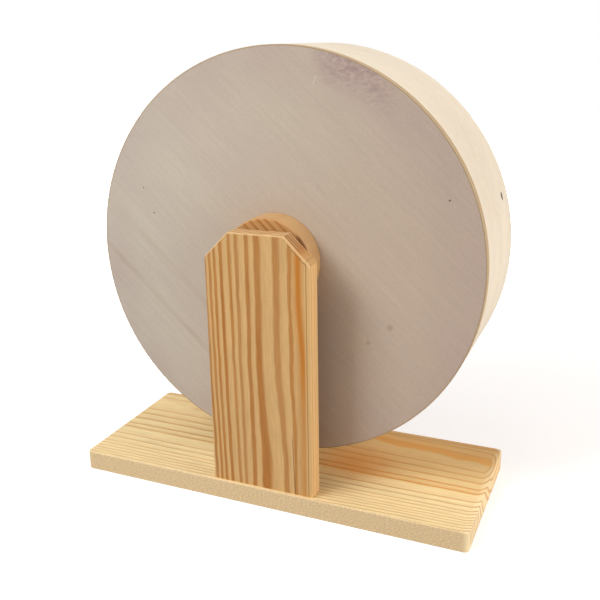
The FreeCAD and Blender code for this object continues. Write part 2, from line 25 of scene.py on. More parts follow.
# Places and sizes of the solids, in mm: X across, Y in depth, Z up.
AXLE = (2.5, 170.0)  # across and up; the post's middle lies as far across
BASE_END = 145.0  # the base's right end; its left one is as far the other way
BASE_FRONT = -60.0
BASE_TOP = 14.0
POST_FRONT = -58.0
POST_RIGHT = 40.0
POST_TOP = 194.0
POST_CUTS = 214.0  # the cut corners' steps from the post's middle plus height
HUB_FACE = -41.9  # the hub block's face turned to the post
HUB_GRAIN = -34.0  # the depth from which the hub block's grain is measured
HUB_RADIUS = 31.5
DRUM_FACE = -17.9  # the disc's face inside the drum
DISC_THICK = 6.0
BAND_DEPTH = 84.0
WHEEL_RADIUS = 140.0
AXLE_LINE = (AXLE[0], 0.0, AXLE[1])
AXLE_AT_DRUM = (AXLE[0], DRUM_FACE, AXLE[1])
PINE_RELIEF = 0.12  # depth of the boards' grain

# ---------------------------------------------------------------- camera


def add_camera():
    """The photograph's viewpoint, from a fit of about a hundred measured points."""
    lens = bpy.data.cameras.new("camera")
    lens.sensor_width = 36.0
    lens.lens = 49.32
    lens.shift_x = 0.0629
    lens.shift_y = -0.0356
    lens.clip_start = 0.01
    lens.clip_end = 20.0
    camera = bpy.data.objects.new("camera", lens)
    yaw, pitch, roll = (math.radians(angle) for angle in (25.6, -15.84, -1.70))
    turn = Matrix.Rotation(yaw, 4, "Z") @ Matrix.Rotation(math.pi / 2 + pitch, 4, "X")
    place = Matrix.Translation((0.2265, -0.5161, 0.30935))
    camera.matrix_world = place @ turn @ Matrix.Rotation(roll, 4, "Z")
    bpy.context.scene.collection.objects.link(camera)
    bpy.context.scene.camera = camera


# ---------------------------------------------------------------- node helpers


class Nodes:
    """Adds nodes to one node tree. An input is given a plain value or another node's output."""

    def __init__(self, tree):
        self.tree = tree

    def put(self, socket, value):
        if isinstance(value, bpy.types.NodeSocket):
            self.tree.links.new(value, socket)
        else:
            socket.default_value = value

    def add(self, kind, inputs=(), **settings):
        node = self.tree.nodes.new("ShaderNode" + kind)
        for name, value in settings.items():
            setattr(node, name, value)
        for name, value in dict(inputs).items():
            self.put(node.inputs[name], value)
        return node

    def math(self, operation, *values, clamp=False):
        node = self.add("Math", operation=operation, use_clamp=clamp)
        for socket, value in zip(node.inputs, values):
            self.put(socket, value)
        return node.outputs[0]

    def vector(self, operation, *values, out="Vector"):
        node = self.add("VectorMath", operation=operation)
        for socket, value in zip(node.inputs, values):
            self.put(socket, value)
        return node.outputs[out]

    def scaled(self, place, scale):
        """The place with each of its axes multiplied, which stretches a pattern that reads it."""
        return self.vector("MULTIPLY", place, scale)

    def noise(self, place, scale=1.0, detail=2.0, rough=0.5, out="Fac"):
        inputs = {"Vector": place, "Scale": scale, "Detail": detail, "Roughness": rough}
        return self.add("TexNoise", inputs).outputs[out]

    def between(self, value, low, high, to_low=0.0, to_high=1.0, soft=True):
        """Maps low..high to to_low..to_high, clamped at both ends, softly or in a straight line."""
        inputs = {
            "Value": value,
            "From Min": low,
            "From Max": high,
            "To Min": to_low,
            "To Max": to_high,
        }
        kind = "SMOOTHSTEP" if soft else "LINEAR"
        return self.add("MapRange", inputs, interpolation_type=kind).outputs["Result"]

    def near(self, value, centre, inner, outer):
        """1 where value lies within inner of centre, 0 from outer on."""
        away = self.math("ABSOLUTE", self.math("SUBTRACT", value, centre))
        return self.between(away, inner, outer, 1.0, 0.0)

    def mix(self, share, first, second):
        node = self.add("Mix", data_type="RGBA", clamp_factor=True)
        # The Mix node's sockets for colours are numbers 6 and 7, and their result is number 2.
        self.put(node.inputs[0], share)
        self.put(node.inputs[6], first)
        self.put(node.inputs[7], second)
        return node.outputs[2]

    def tint(self, under, over, mask, share):
        """Lays a colour over another, by a share of a mask."""
        return self.mix(self.math("MULTIPLY", mask, share), under, over)

    def times(self, colour, factor):
        """A colour multiplied by a grey value."""
        if not isinstance(colour, bpy.types.NodeSocket):
            colour = colour[:3]
        return self.add("VectorMath", {0: colour, "Scale": factor}, operation="SCALE").outputs[0]

    def axes(self, place):
        node = self.add("SeparateXYZ", {0: place})
        return node.outputs[0], node.outputs[1], node.outputs[2]

    def joined(self, x, y, z):
        return self.add("CombineXYZ", {0: x, 1: y, 2: z}).outputs[0]

    def use(self, group, **inputs):
        """Places a node group; inputs are named with underscores for spaces."""
        node = self.add("Group")
        node.node_tree = group
        for name, value in inputs.items():
            self.put(node.inputs[name.replace("_", " ")], value)
        return node.outputs


def colour(red, green, blue):
    """A colour written as it looks on screen, 0 to 255, as the linear value that a shader takes."""
    share = np.array([red, green, blue]) / 255.0
    linear = np.where(share <= 0.04045, share / 12.92, ((share + 0.055) / 1.055) ** 2.4)
    return (*(float(part) for part in linear), 1.0)


def new_group(name, inputs, outputs):
    """An empty node group and its node helper; sockets are pairs of name and kind."""
    group = bpy.data.node_groups.new(name, "ShaderNodeTree")
    for label, kind, *default in inputs:
        socket = group.interface.new_socket(label, in_out="INPUT", socket_type="NodeSocket" + kind)
        if default:
            socket.default_value = default[0]
    for label, kind in outputs:
        group.interface.new_socket(label, in_out="OUTPUT", socket_type="NodeSocket" + kind)
    nodes = Nodes(group)
    entry = group.nodes.new("NodeGroupInput")
    leave = group.nodes.new("NodeGroupOutput")
    return group, nodes, entry.outputs, leave.inputs


def finish_of(name, **shader):
    """A material with a Principled shader; plain numbers are set on the shader's own sockets."""
    material = bpy.data.materials.new(name)
    material.use_nodes = True
    tree = material.node_tree
    tree.nodes.clear()
    nodes = Nodes(tree)
    surface = nodes.add("BsdfPrincipled")
    out = nodes.add("OutputMaterial")
    tree.links.new(surface.outputs[0], out.inputs["Surface"])
    for label, value in shader.items():
        surface.inputs[label.replace("_", " ")].default_value = value
    return material, nodes, surface


def place_in_mm(nodes, origin=(0.0, 0.0, 0.0), turn=(0.0, 0.0, 0.0)):
    """Object coordinates in millimetres, measured from origin (mm) and turned (degrees)."""
    read = nodes.add("TexCoord").outputs["Object"]
    # A Texture mapping moves by minus its location and turns the other way round.
    inputs = {
        "Vector": read,
        "Location": tuple(part * MM for part in origin),
        "Rotation": tuple(math.radians(angle) for angle in turn),
        "Scale": (MM, MM, MM),
    }
    return nodes.add("Mapping", inputs, vector_type="TEXTURE").outputs[0]


def raised(nodes, surface, height, depth_mm):
    """Feeds a height of 0 to 1, worth depth_mm, to the shader's normal."""
    inputs = {"Distance": depth_mm * MM, "Height": height}
    nodes.put(surface.inputs["Normal"], nodes.add("Bump", inputs).outputs[0])


# ---------------------------------------------------------------- shared effects


def make_growth_rings():
    """Late wood of each ring: soft towards the pith, sharper towards the bark, uneven in strength."""
    group, n, given, out = new_group(
        "growth_rings",
        [("Ring", "Float"), ("Place", "Vector")],
        [("Late", "Float"), ("Tint", "Float")],
    )
    part = n.math("FRACT", given["Ring"])
    rise = n.between(part, 0.46, 0.66)
    drop = n.between(part, 0.88, 0.99, 1.0, 0.0)
    whole = n.math("FLOOR", given["Ring"])
    dice = n.add("TexWhiteNoise", {"W": whole}, noise_dimensions="1D")
    strength = n.math("MULTIPLY_ADD", dice.outputs["Value"], 0.25, 0.75)
    drift = n.noise(n.scaled(given["Place"], (0.06, 0.06, 0.014)), 1.0, 2.0)
    strength = n.math("MULTIPLY", strength, n.between(drift, 0.3, 0.7, 0.75, 1.1, soft=False))
    late = n.math("MULTIPLY", n.math("MULTIPLY", rise, drop), strength, clamp=True)
    n.put(out["Late"], late)
    n.put(out["Tint"], n.add("SeparateColor", {0: dice.outputs["Color"]}).outputs[1])
    return group


def make_wood_fibres():
    """Fine streaks along Z, short resin dashes, slow changes of tone, and speckle all ways alike."""
    group, n, given, out = new_group(
        "wood_fibres",
        [("Place", "Vector"), ("Fibre Width", "Float", 0.35), ("Fibre Length", "Float", 14.0)],
        [("Streaks", "Float"), ("Dashes", "Float"), ("Tone", "Float"), ("Speckle", "Float")],
    )
    across = n.math("DIVIDE", 1.0, given["Fibre Width"])
    along = n.math("DIVIDE", 1.0, given["Fibre Length"])
    stretched = n.vector("MULTIPLY", given["Place"], n.joined(across, across, along))
    fine = n.noise(stretched, 1.0, 3.0, 0.6)
    wide = n.noise(n.scaled(stretched, (0.3, 0.3, 0.6)), 1.0, 2.0)
    n.put(out["Streaks"], n.math("MULTIPLY_ADD", fine, 0.6, n.math("MULTIPLY", wide, 0.4)))
    drawn_out = n.scaled(given["Place"], (0.75, 0.75, 0.16))
    cells = n.add("TexVoronoi", {"Vector": drawn_out, "Scale": 1.0})
    n.put(out["Dashes"], n.between(cells.outputs["Distance"], 0.05, 0.12, 1.0, 0.0))
    n.put(out["Tone"], n.noise(n.scaled(given["Place"], (0.03, 0.03, 0.008)), 1.0, 2.0))
    n.put(out["Speckle"], n.noise(given["Place"], 1.6, 3.0, 0.65))
    return group


def make_spot():
    """A soft round or oval mark: 1 at its centre, 0 outside its half sizes."""
    group, n, given, out = new_group(
        "spot",
        [
            ("Place", "Vector"),
            ("Centre", "Vector"),
            ("Half Size", "Vector", (1.0, 1.0, 1.0)),
            ("Softness", "Float", 0.5),
        ],
        [("Mask", "Float")],
    )
    offset = n.vector("SUBTRACT", given["Place"], given["Centre"])
    far = n.vector("LENGTH", n.vector("DIVIDE", offset, given["Half Size"]), out="Value")
    low = n.math("SUBTRACT", 1.0, given["Softness"])
    n.put(out["Mask"], n.between(far, low, 1.0, 1.0, 0.0))
    return group


growth_rings = make_growth_rings()
wood_fibres = make_wood_fibres()
spot = make_spot()

# ---------------------------------------------------------------- pine boards

# Colours of planed pine: early wood, the rings' late wood, late wood rich in resin.
EARLY = colour(243, 222, 172)
LATE = colour(200, 140, 62)
RESIN = colour(216, 146, 56)
POST_PALETTE = (colour(224, 183, 124), colour(190, 126, 56), colour(200, 128, 30))
PINE_GLOSS = 0.3
PITH_WANDER = 2.0  # how far the boards' pith strays from a straight line, in mm
BASE_PITH = 36.0  # the base's pith lies this far behind its middle and above its underside
POST_PITH = (45.0, -93.0)  # the post's pith lies in front of it: its place across and in depth


def ring_number(nodes, radius, lines):
    """The ring number at a distance from the pith; its second half, .5 to 1, is a ring's late wood.

    Lines are pairs of a late wood line's middle and width, from the pith outwards.
    """
    steps = [(0.0, 0.0)]
    for count, (middle, width) in enumerate(lines):
        steps.append((middle - width / 2, count + 0.5))
        steps.append((middle + width / 2, count + 1.0))
    reach, rings = steps[-1]
    curve = nodes.add("FloatCurve")
    nodes.put(curve.inputs["Value"], nodes.between(radius, 0.0, reach, soft=False))
    points = curve.mapping.curves[0].points
    while len(points) < len(steps):
        points.new(0.5, 0.5)
    for point, (place, number) in zip(points, steps):
        point.location = (place / reach, number / rings)
        point.handle_type = "VECTOR"
    curve.mapping.update()
    return nodes.math("MULTIPLY", curve.outputs[0], rings)


def lines_on_face(marks, pith, depth):
    """Late wood lines from marks on a flat face: pairs of place and width across the grain.

    Pith is the pith's place on the same scale and depth its distance from the face, so a mark lies
    at the root of its distance squared plus the depth squared.
    """
    lines = []
    for mark, width in marks:
        away = math.hypot(mark - pith, depth)
        lines.append((away, width * max(abs(mark - pith), depth / 3) / away))
    return sorted(lines)


def pith_radius(nodes, place, wander_mm):
    """Distance from the Z axis, on which the pith lies, with the rings' slow waver along it."""
    middle = (0.5, 0.5, 0.5)
    waver = nodes.noise(nodes.scaled(place, (0.04, 0.04, 0.02)), 1.0, 2.0, 0.45, out="Color")
    shift = nodes.scaled(nodes.vector("SUBTRACT", waver, middle), (wander_mm, wander_mm, 0.0))
    fine = nodes.noise(nodes.scaled(place, (0.3, 0.3, 0.12)), 1.0, 2.0, 0.5, out="Color")
    ripple = nodes.scaled(nodes.vector("SUBTRACT", fine, middle), (0.7, 0.7, 0.0))
    moved = nodes.vector("ADD", nodes.vector("ADD", place, shift), ripple)
    flat = nodes.scaled(moved, (1.0, 1.0, 0.0))
    return nodes.vector("LENGTH", flat, out="Value")


def pine(nodes, surface, place, ring, palette, resin=0.0, strength=1.0):
    """Colour and height of pine, and the shader's roughness; resin turns late wood orange."""
    early, late, resin_colour = palette
    rings = nodes.use(growth_rings, Ring=ring, Place=place)
    fibres = nodes.use(wood_fibres, Place=place)
    dark = nodes.tint(late, colour(140, 90, 44), rings["Tint"], 0.35)
    dark = nodes.mix(resin, dark, resin_colour)
    tone = nodes.between(fibres["Tone"], 0.3, 0.7, 0.94, 1.04, soft=False)
    base = nodes.times(nodes.tint(early, resin_colour, resin, 0.35), tone)
    # The last early wood before each line is a little darker than the first.
    base = nodes.mix(nodes.between(nodes.math("FRACT", ring), 0.1, 0.5, 0.0, 0.14), base, late)
    amount = nodes.math("MULTIPLY", rings["Late"], strength, clamp=True)
    mixed = nodes.mix(amount, base, dark)
    streaks = nodes.between(fibres["Streaks"], 0.36, 0.64, 0.86, 1.10, soft=False)
    speckle = nodes.between(fibres["Speckle"], 0.34, 0.66, 0.92, 1.06, soft=False)
    mixed = nodes.times(nodes.times(mixed, streaks), speckle)
    mixed = nodes.tint(mixed, colour(120, 78, 40), fibres["Dashes"], 0.12)
    rough = nodes.between(amount, 0.0, 1.0, 0.62, 0.48, soft=False)
    nodes.put(surface.inputs["Roughness"], rough)
    height = nodes.math("MULTIPLY_ADD", amount, 0.5, nodes.math("MULTIPLY", fibres["Streaks"], 0.5))
    return mixed, height


def sawn_rows(nodes, along, up):
    """Grey level of a sawn edge: small dark specks, nearly three times as long as high."""
    place = nodes.joined(nodes.math("MULTIPLY", along, 0.6), nodes.math("MULTIPLY", up, 1.7), 0.0)
    specks = nodes.noise(place, 1.0, 2.0, 0.7)
    return nodes.between(specks, 0.4, 0.6, 0.8, 1.1, soft=False)


def cut_end(nodes, mixed, height, place, mask):
    """End grain: open pores make it browner and uneven, and its surface is rougher."""
    pores = nodes.noise(place, 1.3, 2.0, 0.7)
    end = nodes.times(mixed, nodes.between(pores, 0.3, 0.7, 0.84, 1.06, soft=False))
    return nodes.mix(mask, mixed, end), nodes.mix(mask, height, pores)


def base_rings(n, x, y, z, sanded):
    """Place in the base's grain, distance from the pith, and ring number.

    The lines draw together a little towards the right end, about the line y = -12.
    """
    spread = n.between(x, 0.0, 140.0, 1.0, 1.14, soft=False)
    drawn = n.math("MULTIPLY_ADD", n.math("ADD", y, 12.0), spread, -12.0)
    deep = n.math("MULTIPLY_ADD", sanded, 10.0, n.math("SUBTRACT", BASE_PITH, z))
    place = n.joined(n.math("SUBTRACT", drawn, BASE_PITH), deep, x)
    radius = pith_radius(n, place, PITH_WANDER)
    # The late wood lines on the board's top: place from back to front, and width, in mm.
    marks = (
        (24.0, 3.0), (14.3, 2.8), (5.2, 2.6), (-4.8, 2.3), (-11.6, 2.7), (-24.3, 1.8), (-31.5, 1.8),
        (-38.0, 1.6), (-42.2, 1.6), (-46.8, 1.5), (-50.4, 1.4), (-53.8, 1.3), (-57.3, 1.3),
        (-61.2, 1.4), (-65.0, 1.4), (-80.0, 2.0),
    )
    inner = [(8.0, 2.0), (15.0, 2.0), (20.5, 1.5)]
    lines = inner + lines_on_face(marks, BASE_PITH, BASE_PITH - BASE_TOP)
    return place, radius, ring_number(n, radius, lines)


def base_line_strength(n, x, radius, sanded, end):
    """How dark the base's lines are: paler at the left, near the pith and far from it, not on ends."""
    strength = n.between(radius, 54.0, 80.0, 0.85, 0.5, soft=False)
    strength = n.math("MULTIPLY", strength, n.between(radius, 24.0, 33.0, 0.45, 1.0))
    strength = n.math("MULTIPLY", strength, n.between(x, -120.0, 80.0, 0.8, 1.15, soft=False))
    strength = n.math("MAXIMUM", strength, n.math("MULTIPLY", end, 1.2))
    return n.math("MAXIMUM", strength, n.between(sanded, 0.05, 0.4, 0.0, 1.15))


def base_orange(n, mixed, whole):
    """The base's orange parts: to the right and back, by the post, and a figure along the pith."""
    x, y, z = n.axes(whole)
    drift = n.math("MULTIPLY", n.between(x, -60.0, 60.0), n.between(y, -35.0, 10.0, 0.1, 1.0))
    mixed = n.tint(mixed, colour(242, 188, 94), drift, 0.3)
    half = (42.0, 34.0, 20.0)
    by_post = n.use(spot, Place=whole, Centre=(50.0, 0.0, BASE_TOP), Half_Size=half, Softness=1.0)
    mixed = n.tint(mixed, colour(230, 146, 48), by_post["Mask"], 0.5)
    # The figure's front boundary is distinct, its back one fades.
    waver = n.noise(n.joined(n.math("MULTIPLY", x, 0.035), 3.0, 0.0), 1.0, 2.0)
    front = n.math("MULTIPLY_ADD", waver, 16.0, n.between(x, 40.0, 140.0, 33.0, 22.0, soft=False))
    past = n.math("SUBTRACT", y, front)
    figure = n.math("MULTIPLY", n.between(past, -1.5, 2.5), n.between(past, 3.0, 16.0, 1.0, 0.25))
    figure = n.math("MULTIPLY", figure, n.between(x, 10.0, 60.0))
    mixed = n.tint(mixed, colour(236, 168, 64), figure, 0.75)
    knotty = n.use(spot, Place=whole, Centre=(-97.0, 38.0, BASE_TOP), Half_Size=(14.0, 5.0, 9.0))
    mixed = n.tint(mixed, colour(206, 146, 70), knotty["Mask"], 0.35)
    # A brown line near the back edge.
    return n.tint(mixed, colour(176, 120, 60), n.near(y, 55.0, 0.2, 1.2), 0.45)


def make_base_pine():
    """Base board: grain along X, the pith above its back half, rings closing up to the front."""
    material, n, surface = finish_of("pine_base", Specular_IOR_Level=PINE_GLOSS)
    whole = place_in_mm(n)
    x, y, z = n.axes(whole)
    # The right end looks sanded round, which lays the rings bare as arcs beside the brink.
    sanded = n.math("POWER", n.between(x, BASE_END - 6.5, BASE_END, soft=False), 2.0)
    end = n.between(n.math("ABSOLUTE", x), BASE_END - 0.8, BASE_END - 0.3)
    place, radius, ring = base_rings(n, x, y, z, sanded)
    along = n.between(x, -90.0, 60.0, 0.25, 0.75)
    resin = n.math("MULTIPLY", n.near(radius, 50.0, 2.5, 5.5), along)
    resin = n.math("MAXIMUM", resin, n.between(radius, 46.0, 30.0, 0.0, 0.3))
    strength = base_line_strength(n, x, radius, sanded, end)
    mixed, height = pine(n, surface, place, ring, (EARLY, LATE, RESIN), resin, strength)
    mixed = base_orange(n, mixed, whole)
    sawn = n.between(y, BASE_FRONT + 0.8, BASE_FRONT + 0.4)
    rows = sawn_rows(n, x, z)
    mixed = n.mix(sawn, mixed, n.times(colour(236, 209, 164), rows))
    height = n.mix(sawn, height, rows)
    mixed, height = cut_end(n, mixed, height, whole, end)
    # Between its late wood lines the rounded-looking end is painted paler than the faces beside it: a
    # painted highlight on the brink.
    highlight_between_lines = n.between(n.math("FRACT", ring), 0.35, 0.5, 0.62, 0.15)
    mixed = n.tint(mixed, colour(252, 232, 190), n.between(sanded, 0.03, 0.5), highlight_between_lines)
    n.put(surface.inputs["Base Color"], mixed)
    raised(n, surface, height, PINE_RELIEF)
    return material


def post_rings(n):
    """Place in the post's grain, and ring number: a bulge low down, a lean at the far left."""
    x, y, z = n.axes(place_in_mm(n, origin=(*POST_PITH, 100.0)))
    near = n.math("DIVIDE", n.math("ADD", x, 29.0), 11.5)
    bulge = n.math("EXPONENT", n.math("MULTIPLY", n.math("MULTIPLY", near, near), -1.0))
    swell = n.between(z, 12.0, -72.0, 0.0, 6.0)
    moved = n.math("SUBTRACT", x, n.math("MULTIPLY", bulge, swell))
    left = n.between(x, -45.0, -62.0)
    lean = n.math("MULTIPLY", n.math("MULTIPLY", z, -0.014), left)
    place = n.joined(n.math("SUBTRACT", moved, lean), y, z)
    radius = pith_radius(n, place, PITH_WANDER)
    # The late wood lines on the post's front: place from right to left, and width, in mm.
    marks = (
        (26.0, 3.6), (16.4, 6.2), (3.2, 6.0), (-3.9, 3.8), (-10.7, 3.2), (-15.6, 2.8), (-21.9, 3.2),
        (-26.6, 2.6), (-30.2, 2.4), (-33.8, 2.4), (-37.6, 2.4), (-42.0, 2.4), (-46.0, 2.4),
    )
    lines = lines_on_face(marks, POST_PITH[0], POST_FRONT - POST_PITH[1])
    return place, ring_number(n, radius, lines)


def post_lines(n, mixed, whole):
    """Narrow dark lines down the post's right side and beside its corner, painted light paling that
    whole side, and a shake low down.
    """
    across, depth, up = n.axes(whole)
    waver = n.noise(n.joined(0.0, 0.0, n.math("MULTIPLY", up, 0.04)))
    wavy = n.math("MULTIPLY_ADD", waver, 1.6, depth)
    side = n.math("MAXIMUM", n.near(wavy, -55.4, 0.2, 0.9), n.near(wavy, -50.6, 0.2, 0.7))
    side = n.math("MAXIMUM", side, n.math("MULTIPLY", n.near(wavy, -47.4, 0.1, 0.8), 0.6))
    side = n.math("MULTIPLY", side, n.between(across, POST_RIGHT - 1.0, POST_RIGHT - 0.4))
    lines = n.math("MAXIMUM", n.near(across, 37.2, 0.1, 0.6), side)
    mixed = n.tint(mixed, colour(142, 86, 34), lines, 0.62)
    # The whole right side is tinted paler: painted light falling on it from the right.
    painted_light_side = n.between(across, POST_RIGHT - 0.8, POST_RIGHT - 0.2)
    mixed = n.tint(mixed, colour(236, 204, 158), painted_light_side, 0.15)
    shake = n.near(across, n.math("MULTIPLY_ADD", up, -0.03, 27.6), 0.1, 0.5)
    shake = n.math("MULTIPLY", shake, n.between(up, 62.0, 48.0))
    return n.tint(mixed, colour(96, 62, 34), shake, 0.75)


def post_ends(n, mixed, height, whole, out):
    """The post's top end and cut corners: shallow grooves, and saw marks on the right cut."""
    across, depth, up = n.axes(whole)
    on_top = n.between(up, POST_TOP - 0.5, POST_TOP - 0.1)
    end = n.math("MAXIMUM", on_top, n.between(out, POST_CUTS - 0.7, POST_CUTS - 0.2))
    slant = n.math("MULTIPLY_ADD", across, 0.35, depth)
    grooves = n.between(n.math("SINE", n.math("MULTIPLY", slant, 1.35)), 0.3, 0.95, 0.0, 0.5)
    grooves = n.math("MULTIPLY", grooves, n.between(across, 22.4, 21.0))
    saw_marks = n.between(n.math("SINE", n.math("MULTIPLY", depth, 2.0)), -0.1, 0.8, 0.0, 0.85)
    right_cut = n.math("MULTIPLY", n.between(across, 21.8, 22.6), n.between(up, 181.0, 187.0))
    saw_marks = n.math("MULTIPLY", saw_marks, right_cut)
    tone = n.mix(n.between(across, 21.8, 22.8), colour(212, 176, 130), colour(190, 148, 100))
    mixed = n.tint(mixed, tone, end, 0.6)
    mixed = n.tint(mixed, colour(120, 74, 38), end, n.math("MAXIMUM", grooves, saw_marks))
    return cut_end(n, mixed, height, whole, end)


def post_brinks(n, mixed, whole, out):
    """Edges of the post's top on its front: a pale ragged border, partly worn wood and partly a
    painted highlight along the brink, dark inside at the right.
    """
    across, depth, up = n.axes(whole)
    front = n.between(depth, POST_FRONT + 0.7, POST_FRONT + 0.4)
    rag = n.math("MULTIPLY", n.noise(whole, 0.45, 2.0), 1.2)
    below = n.math("SUBTRACT", POST_TOP + 0.6, n.math("ADD", up, rag))
    inside = n.math("SUBTRACT", POST_CUTS + 0.8, n.math("ADD", out, rag))
    inside = n.math("MULTIPLY", inside, 0.707)
    right = n.between(across, 20.0, 24.0)
    level = n.near(below, 0.3, 0.3, 0.9)
    slanted = n.near(inside, 0.2, n.math("ADD", right, 0.2), n.math("ADD", right, 0.9))
    # Pale border: worn wood and a painted highlight along the brink.
    worn_and_highlight_border = n.math("MULTIPLY", n.math("MAXIMUM", level, slanted), front)
    mixed = n.tint(mixed, colour(244, 206, 150), worn_and_highlight_border, 0.6)
    broken = n.between(n.noise(whole, 0.3, 1.0), 0.42, 0.5)
    dark = n.math("MULTIPLY", n.near(inside, 2.1, 0.2, 0.6), n.math("MULTIPLY", right, broken))
    dark = n.math("MULTIPLY", dark, front)
    return n.tint(mixed, colour(130, 76, 34), dark, n.between(across, 38.8, 38.0, 0.0, 0.6))


def make_post_pine():
    """Post: grain along Z, the pith in front of its right edge, an orange streak at the right."""
    material, n, surface = finish_of("pine_post", Specular_IOR_Level=PINE_GLOSS)
    whole = place_in_mm(n)
    across, depth, up = n.axes(whole)
    place, ring = post_rings(n)
    streak = n.math("SUBTRACT", across, n.between(up, 155.0, 110.0, 31.8, 34.2))
    low_down = n.between(up, 60.0, 120.0, 0.4, 1.0)
    halo = n.math("MULTIPLY", n.near(streak, 0.0, 1.0, 5.0), low_down)
    mixed, height = pine(n, surface, place, ring, POST_PALETTE, halo)
    mixed = n.tint(mixed, POST_PALETTE[2], halo, 0.22)
    core = n.math("MULTIPLY", low_down, 0.8)
    mixed = n.tint(mixed, colour(196, 118, 26), n.near(streak, 0.0, 0.6, 2.4), core)
    pale = n.math("MULTIPLY", n.between(across, 35.6, 36.6), n.between(up, 188.0, 180.0))
    mixed = n.tint(mixed, colour(226, 186, 124), pale, 0.7)
    mixed = post_lines(n, mixed, whole)
    # Steps from the post's middle plus height: the same all over its two cut corners.
    out = n.math("ADD", n.math("ABSOLUTE", n.math("SUBTRACT", across, AXLE[0])), up)
    mixed, height = post_ends(n, mixed, height, whole, out)
    mixed = post_brinks(n, mixed, whole, out)
    n.put(surface.inputs["Base Color"], mixed)
    raised(n, surface, height, PINE_RELIEF)
    return material


def make_hub_pine():
    """Hub block: sawn from a board, so its grain runs across the axle, down to the right."""
    material, n, surface = finish_of("pine_hub", Specular_IOR_Level=PINE_GLOSS)
    # The grain's X runs up to the right across the lines; the pith lies 120 mm down to the left.
    pith = 120.0
    x, y, z = n.axes(place_in_mm(n, (AXLE[0], HUB_GRAIN, AXLE[1]), turn=(0.0, -47.0, 0.0)))
    place = n.joined(n.math("ADD", x, pith), n.math("MULTIPLY", y, 0.6), z)
    radius = pith_radius(n, place, 0.8)
    middles = (-32.0, -27.0, -21.5, -17.0, -12.0, -6.5, -2.0, 3.5, 8.6, 13.5, 18.2, 22.4, 27.0, 40.0)
    ring = ring_number(n, radius, [(pith + middle, 2.0) for middle in middles])
    # Lines are strong on the sawn faces only; round its side the block is smooth and plain.
    from_post = place_in_mm(n, AXLE_LINE)
    away = from_axle(n, from_post)
    strength = n.between(away, HUB_RADIUS - 0.9, HUB_RADIUS - 0.2, 1.0, 0.15)
    mixed, height = pine(n, surface, place, ring, POST_PALETTE, strength=strength)
    side = n.between(away, HUB_RADIUS - 0.9, HUB_RADIUS - 0.2, 0.0, 0.6)
    mixed = n.mix(side, mixed, colour(184, 146, 106))
    # The face turned to the post is browner: partly its sawn tone, partly painted shade from the post
    # close in front.
    face = n.between(y, -6.6, -7.4)
    mixed = n.tint(mixed, colour(176, 112, 56), face, 0.35)
    # At the face's upper right, a dark late wood stripe is deepened by painted shade in the gap behind
    # the post.
    centre = (27.0, HUB_FACE, 16.0)
    patch = n.use(spot, Place=from_post, Centre=centre, Half_Size=(9.0, 3.0, 11.0), Softness=0.6)
    painted_shade_on_face = n.math("MULTIPLY", face, patch["Mask"])
    mixed = n.tint(mixed, colour(104, 58, 22), painted_shade_on_face, 0.7)
    # Its edge is darker where it meets the disc: painted contact shade.
    mixed = n.tint(mixed, colour(120, 80, 48), n.between(y, 9.0, 9.8), 0.5)
    n.put(surface.inputs["Base Color"], mixed)
    raised(n, surface, height, PINE_RELIEF)
    return material


# ---------------------------------------------------------------- plywood, cork and beech

PLY = 1.2  # one layer of plywood, in mm
PLYWOOD_GLOSS = 0.25
# Marks on the disc's front: place across and up from the axle, and half size, in mm.
DISC_SPECKS = ((-104.0, 43.6, 0.7), (-96.4, 25.7, 0.8), (115.6, 45.7, 0.9))
DISC_STAINS = ((79.4, -40.3, 3.4), (64.6, -52.7, 2.4))
# Marks on the band: turn about the axle in radians, then in mm the place across it, half length
# and half width, and last the share.
BAND_MARKS = ((0.2705, 64.0, 3.6, 2.8, 1.0), (1.2078, 76.0, 1.0, 0.9, 0.7))
BAND_JOINT = -1.9  # the lap joint's turn about the axle, in radians from +X


def from_axle(n, place):
    """Distance from the axle, for a place measured from it."""
    x, y, z = n.axes(place)
    return n.vector("LENGTH", n.joined(x, 0.0, z), out="Value")


def plies(n, depth, light, dark):
    """Edge of plywood across depth: light layers and dark cross-grained ones in turn."""
    layers = n.math("PINGPONG", n.math("ADD", depth, PLY / 2), PLY)
    return n.mix(n.between(layers, 0.45, 0.75), light, dark)


def veneer_lines(n, grain):
    """Two faint wavy lines along the grain, about 66 and 93 mm to the upper right of the axle."""
    across, depth, along = n.axes(grain)
    waver = n.noise(n.scaled(grain, (0.03, 0.0, 0.02)), 1.0, 2.0)
    wavy = n.math("MULTIPLY_ADD", waver, 7.0, across)
    inner = n.math("MULTIPLY", n.near(wavy, 70.0, 0.2, 5.0), 0.6)
    lines = n.math("MAXIMUM", n.near(wavy, 97.0, 0.5, 3.0), inner)
    patchy = n.noise(n.joined(0.0, 0.0, n.math("MULTIPLY", along, 0.02)), 1.0, 2.0)
    return n.math("MULTIPLY", lines, n.between(patchy, 0.3, 0.7, 0.1, 0.3))


def mauve_patch(n, place):
    """A ragged patch near the rim at the top right, on the disc's front only."""
    x, y, z = n.axes(place)
    near_rim = n.between(from_axle(n, place), 114.0, 134.0)
    patch = n.math("MULTIPLY", near_rim, n.near(x, 54.0, 10.0, 34.0))
    on_front = n.between(y, 1.0 - DISC_THICK, 0.5 - DISC_THICK)
    patch = n.math("MULTIPLY", patch, n.math("MULTIPLY", n.between(z, 70.0, 100.0), on_front))
    fuzz = n.between(n.noise(n.scaled(place, (0.22, 0.22, 0.4)), 1.0, 4.0, 0.7), 0.3, 0.66)
    return n.math("MULTIPLY", patch, fuzz)


